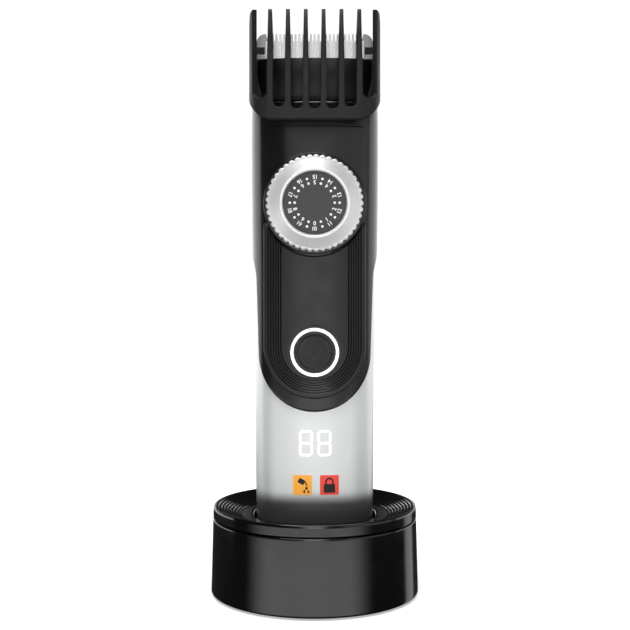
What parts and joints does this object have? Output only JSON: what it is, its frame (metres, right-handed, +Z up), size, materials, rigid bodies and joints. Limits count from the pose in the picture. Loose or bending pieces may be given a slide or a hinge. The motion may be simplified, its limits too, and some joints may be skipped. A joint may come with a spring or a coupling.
{
  "type": "beard trimmer",
  "caption": "Cordless beard trimmer with a length dial, guide comb, power button and lit display, standing in a round charging dock.",
  "frame": {"origin": "on the table, under the middle of the round dock", "axes": "+Z up, -Y towards the user who faces the dial, +X to that user's right"},
  "size_m": [0.0686, 0.0686, 0.1899],
  "materials": {
    "dock_gloss": "glossy black moulded plastic",
    "body_gloss": "glossy black moulded plastic",
    "grip_satin": "satin black plastic with long fine grooves",
    "comb_satin": "satin black moulded plastic",
    "inner_plastic": "plain black moulding",
    "silver_shell": "fine satin silver, fading to dark grey at the foot",
    "dial_metal": "turned bright metal with fine concentric lines",
    "dial_disc": "dark grey satin with white printed numbers and dots",
    "button_black": "satin black with a sunk power symbol",
    "blade_steel": "fine ground steel",
    "zinc_steel": "zinc-plated steel",
    "cast_weight": "raw cast weight",
    "contact_brass": "gold-plated contact",
    "board_green": "circuit board lacquer",
    "foot_rubber": "soft black rubber",
    "light_white": "lit white light guide",
    "icon_orange": "lit orange lens",
    "icon_red": "lit red lens",
    "cell_wrap": "shrink-wrapped round cell",
    "nylon": "natural nylon"
  },
  "bodies": {
    "dock": {"dock_shell": "dock_gloss", "dock_dish": "dock_gloss", "dock_base_plate": "inner_plastic", "dock_ballast": "cast_weight", "dock_circuit_board": "board_green", "dock_usb_socket": "blade_steel", "dock_pin_barrel_left": "contact_brass", "dock_pin_barrel_right": "contact_brass", "dock_foot_1": "foot_rubber", "dock_foot_2": "foot_rubber", "dock_foot_3": "foot_rubber", "dock_foot_4": "foot_rubber", "dock_screw_1": "zinc_steel", "dock_screw_2": "zinc_steel", "dock_screw_3": "zinc_steel"},
    "left_charge_pin": {"charge_pin_left": "contact_brass"},
    "right_charge_pin": {"charge_pin_right": "contact_brass"},
    "trimmer": {"lower_housing": "silver_shell", "bottom_cap": "inner_plastic", "charge_contact_left": "contact_brass", "charge_contact_right": "contact_brass", "display_light_guide": "light_white", "oil_icon_lens": "icon_orange", "lock_icon_lens": "icon_red", "display_led_block": "inner_plastic", "main_board": "board_green", "tact_switch": "zinc_steel", "battery_cell": "cell_wrap", "battery_cradle": "inner_plastic", "front_cover": "body_gloss", "rear_cover": "body_gloss", "rear_screw_1": "zinc_steel", "rear_screw_2": "zinc_steel", "grip_plate": "grip_satin", "light_ring": "light_white", "detent_spring": "blade_steel", "head_housing": "body_gloss", "fixed_blade": "blade_steel", "blade_screw_1": "zinc_steel", "blade_screw_2": "zinc_steel", "cutter_spring": "blade_steel", "motor_can": "zinc_steel", "motor_mount": "inner_plastic"},
    "dial": {"dial_ring": "dial_metal", "dial_disc": "dial_disc", "dial_hub": "nylon", "dial_clip": "blade_steel"},
    "reduction_wheel": {"reduction_gear": "nylon"},
    "carriage": {"comb_carriage": "nylon"},
    "comb": {"guide_comb": "comb_satin"},
    "button": {"power_button": "button_black"},
    "cutter": {"moving_cutter": "blade_steel", "drive_fork": "nylon"},
    "motor_rotor": {"eccentric_cam": "zinc_steel"}
  },
  "joints": [
    {"name": "trimmer_lift", "type": "slide", "parent": "dock", "child": "trimmer", "axis": [0, 0, 1], "range_m": [0, 0.03]},
    {"name": "charge_pin_left_press", "type": "slide", "parent": "dock", "child": "left_charge_pin", "axis": [0, 0, 1], "range_m": [-0.0008, 0], "stiffness_N_per_m": 200},
    {"name": "charge_pin_right_press", "type": "slide", "parent": "dock", "child": "right_charge_pin", "axis": [0, 0, 1], "range_m": [-0.0008, 0], "stiffness_N_per_m": 200},
    {"name": "dial_turn", "type": "hinge", "parent": "trimmer", "child": "dial", "pos_m": [0, -0.0195, 0.1281], "axis": [0, 1, 0], "range_deg": [0, 702]},
    {"name": "gear_turn", "type": "hinge", "parent": "trimmer", "child": "reduction_wheel", "pos_m": [0, -0.0139, 0.1416], "axis": [0, 1, 0], "range_deg": [-351, 0]},
    {"name": "comb_height", "type": "slide", "parent": "trimmer", "child": "carriage", "axis": [0, 0, 1], "range_m": [0, 0.0195]},
    {"name": "comb_pull", "type": "slide", "parent": "carriage", "child": "comb", "axis": [0, 0, 1], "range_m": [0, 0.012]},
    {"name": "power_press", "type": "slide", "parent": "trimmer", "child": "button", "axis": [0, 1, 0], "range_m": [0, 0.0006], "stiffness_N_per_m": 1200},
    {"name": "cutter_stroke", "type": "slide", "parent": "trimmer", "child": "cutter", "axis": [1, 0, 0], "range_m": [-0.001, 0.001]},
    {"name": "motor_turn", "type": "hinge", "parent": "trimmer", "child": "motor_rotor", "pos_m": [0, 0.003, 0.153], "axis": [0, 0, 1], "continuous": true}
  ],
  "couplings": [
    {"joint": "gear_turn", "follows": "dial_turn", "ratio": -0.5},
    {"joint": "comb_height", "follows": "dial_turn", "m_per_rad": 0.0015915}
  ]
}
